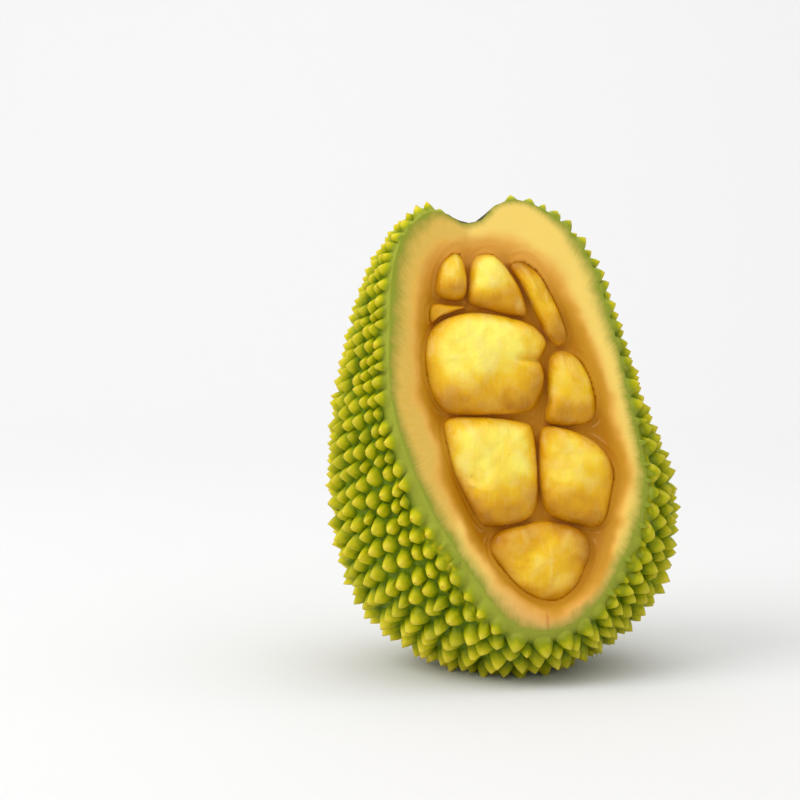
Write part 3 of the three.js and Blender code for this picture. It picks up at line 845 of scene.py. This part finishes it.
def note_places(mesh, spikes):
    """Notes on each vertex where it lies on the fruit, for the materials."""
    points = points_of(mesh)
    offset = offset_from_skin(points)
    axes = spikes.tips - spikes.feet
    owner, _ = nearest_of(points, spikes.feet + 0.5 * axes)
    from_tip = np.linalg.norm(points - spikes.tips[owner], axis=1)
    tones = np.array([draw(i, 7) for i in range(len(spikes.seeds))])
    along = np.einsum("ij,ij->i", points - spikes.feet[owner], axes[owner])
    full = 0.4 * (SPIKE_HEIGHT * spikes.grown[owner]) ** 2 + 1
    rise = np.maximum(along / np.maximum(np.sum(axes[owner] ** 2, axis=1), full), offset / SPIKE_HEIGHT)
    note(mesh, "spike_rise", np.clip(rise, 0, 1.1))
    # Painted shade: this term makes the skin greener and darker on the right and lower down, and yellower and
    # lighter on the left and at the top.
    side = 0.5 * points[:, 0] / HALF_WIDTH - 0.3 * (points[:, 2] - MID_HEIGHT) / HALF_HEIGHT
    note(mesh, "spike_tone_and_painted_shade", tones[owner] + side)
    note(mesh, "from_tip", from_tip + 1.5 * tones[owner] * tones[owner] + 2 * (spikes.grown[owner] < 0.3))
    top = np.where(points[:, 2] > MID_HEIGHT, 1, -1)
    note(mesh, "from_stalk", np.minimum(from_stalk(top, points[:, 0], points[:, 1]), 9))
    local = to_slice(points)
    from_hollow = distance_outside(local[:, :2], HOLLOW_LOOP)
    note(mesh, "from_hollow", from_hollow)
    note(mesh, "below_slice", -local[:, 2])
    _, from_aril, between = from_arils(local[:, :2])
    # Painted shade in the crease where two arils meet.
    note(mesh, "crease", between * (1 - smoothstep(from_aril, 0.5, 3)))
    note(mesh, "membrane", membrane_at(from_aril, between) * smoothstep(-local[:, 2], 5, 9))
    meet = LOBES_MEET["x"] + LOBES_MEET["drift"] * (local[:, 1] - LOBES_MEET["y"])
    note(mesh, "across", local[:, 0] - meet)
    note(mesh, "upward", local[:, 1])
    right, left = smoothstep(local[:, 0], 10, 50), smoothstep(local[:, 0], -30, -55)
    wider = FRINGE["right"] * right * smoothstep(local[:, 1], 10, 70)
    wider = wider + FRINGE["left"] * left * smoothstep(local[:, 1], 0, 70)
    note(mesh, "rim_depth", -offset * (1 - wider))
    beside = np.exp(-(((local[:, 0] - SPLIT["x"]) / SPLIT["width"]) ** 2))
    note(mesh, "split", beside * smoothstep(local[:, 1], SPLIT["top"], SPLIT["foot"]))
    angle = np.arctan2(local[:, 1] * 0.6, local[:, 0])
    note_vector(mesh, "fibre_way", np.column_stack([angle, from_hollow, local[:, 2]]) * FIBRE_FAN)


def fruit_body(skin, flesh):
    spikes = Spikes()
    fruit = whole_rind(spikes)
    fruit.data.materials.append(skin)
    slice_off = slab()
    slice_off.data.materials.append(flesh)
    apply_boolean(fruit, "DIFFERENCE", slice_off)
    block = ground_block()
    block.data.materials.append(skin)
    apply_boolean(fruit, "DIFFERENCE", block)
    note_places(fruit.data, spikes)
    make_active(fruit)
    bpy.ops.object.shade_smooth_by_angle(angle=math.radians(50))
    fruit.name = fruit.data.name = "fruit"
    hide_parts("fruit_body")
    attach(fruit, "root")


def fold_relief(name, plane):
    """How far an aril's folds and ridges move its upper side out, and the share of a ridge at each place."""
    relief = np.zeros(len(plane))
    ridge = np.zeros(len(plane))
    for start, end, depth, width in FOLDS[name]:
        start, along = np.array(start), np.subtract(end, start)
        t = np.clip((plane - start) @ along / (along @ along), 0, 1)
        away = np.linalg.norm(plane - start - t[:, None] * along, axis=1)
        share = np.exp(-((away / width) ** 2)) * (1 - t * t)
        relief = relief - depth * share
        if depth < 0:
            ridge = np.maximum(ridge, share)
    return relief, ridge


def aril(name, flesh):
    outline = OUTLINES[name]
    clear_selection()
    bpy.ops.mesh.primitive_uv_sphere_add(segments=128, ring_count=72, radius=1)
    piece = bpy.context.object
    piece.name = piece.data.name = name.replace("aril", "bulb")
    ball = points_of(piece.data) * MM
    angle = np.arctan2(ball[:, 1], ball[:, 0])
    height = np.clip(ball[:, 2], -1, 1)
    level = np.sqrt(np.maximum(1 - height**2, 0))
    power = np.where(height > 0, 2 / ARIL_SQUARENESS, 1)
    ring = level**power
    lift = np.sign(height) * np.abs(height) ** power * np.where(height > 0, outline.rise, outline.sink)
    reach = outline.reach(angle) * ring * ARIL_FULLNESS
    plane = outline.middle + np.column_stack([np.cos(angle), np.sin(angle)]) * reach[:, None]
    crown = np.clip(lift / outline.rise, 0, 1)
    relief, ridge = fold_relief(name, plane)
    u, v = plane.T
    lumps = MOST_LUMP * np.sin(u / 8 + outline.rise) * np.sin(v / 7 + outline.sink)
    lumps = lumps + 0.6 * np.sin(u / 4.1 + v / 5.7) + 0.16 * np.sin(v / 2.3 - u / 5.1 + 2 * np.sin(u / 7))
    lift = lift + np.sqrt(crown) * np.minimum(relief + lumps, MOST_LUMP)
    local = np.column_stack([plane, ARIL_LEVEL + lift])
    move_points(piece.data, from_slice(local))
    note(piece.data, "ridge", ridge * crown)
    # Painted light and shade: palest round the lit spot, darker away from it and faster below it, and darker
    # down the sides and at the outline.
    pale_u, pale_v, far, most = PAINTED_LIT_SPOT[name]
    steep = np.where(v < pale_v, 1.25, 0.65)
    shade_off_lit_spot = smoothstep(np.hypot(0.75 * (u - pale_u), steep * (v - pale_v)) / far, 0.35, 1.35)
    shaded = smoothstep(crown, -0.25, 0.55) * (1 - 0.35 * smoothstep(ring, 0.7, 1))
    note(piece.data, "pallor_and_painted_light", (0.3 + 0.7 * most * (1 - shade_off_lit_spot)) * shaded)
    note_vector(piece.data, "grain", local)
    note_vector(piece.data, "fibre_way", np.column_stack([u * 0.5, v * 0.07, lift * 0.2]))
    piece.data.materials.append(flesh)
    make_active(piece)
    bpy.ops.object.shade_smooth()
    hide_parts(name)
    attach(piece, "root")


# ---------------------------------------------------------------- the studio


def backdrop():
    """White paper that lies on the table and curves up behind the fruit."""
    sweep = [(-6000, 0), (900, 0)]
    sweep += [(900 + 1500 * math.sin(t), 1500 * (1 - math.cos(t))) for t in np.linspace(0.1, math.pi / 2, 24)]
    sweep.append((2400, 6000))
    points = np.array([(x, y, z) for y, z in sweep for x in (-6000, 6000)], float)
    faces = [(2 * k, 2 * k + 1, 2 * k + 3, 2 * k + 2) for k in range(len(sweep) - 1)]
    paper = mesh_piece("backdrop", points, faces)
    make_active(paper)
    bpy.ops.object.shade_smooth()
    material, _, shader = new_material("matt_white_paper")
    shader.inputs["Base Color"].default_value = colour("#E3E3E3")
    shader.inputs["Roughness"].default_value = 0.95
    shader.inputs["Specular IOR Level"].default_value = 0.1
    paper.data.materials.append(material)


def studio():
    backdrop()
    world = bpy.data.worlds.new("studio")
    bpy.context.scene.world = world
    world.use_nodes = True
    world.node_tree.nodes["Background"].inputs["Color"].default_value = colour("#FFFFFF")
    world.node_tree.nodes["Background"].inputs["Strength"].default_value = 0.79
    for name, place, aim, size, power in (
        ("key", (-1.9, -0.95, 1.9), (0, 0, 0.15), 2.0, 36),
        ("top", (0.6, -0.2, 2.4), (0, 0, 0.15), 2.2, 12),
        ("wash", (0, 0.9, 2.4), (0, 2.4, 0.4), 2.0, 9),
    ):
        bpy.ops.object.light_add(type="AREA", location=place)
        light = bpy.context.object
        light.name = name
        light.data.size = size
        light.data.energy = power
        light.rotation_euler = (Vector(aim) - Vector(place)).to_track_quat("-Z", "Y").to_euler()


def camera():
    bpy.ops.object.camera_add(
        location=(-69.7 * MM, -1696.55 * MM, 405.07 * MM), rotation=(math.radians(90 - 7.5), 0, 0)
    )
    viewer = bpy.context.object
    viewer.data.lens = 114.3
    viewer.data.sensor_width = 36
    viewer.data.clip_end = 50
    bpy.context.scene.camera = viewer


skin = rind_skin()
flesh = cut_flesh()
fruit_body(skin, flesh)
golden = aril_flesh()
for name in ARILS:
    aril(name, golden)
studio()
camera()
bpy.context.scene.view_settings.view_transform = "Standard"
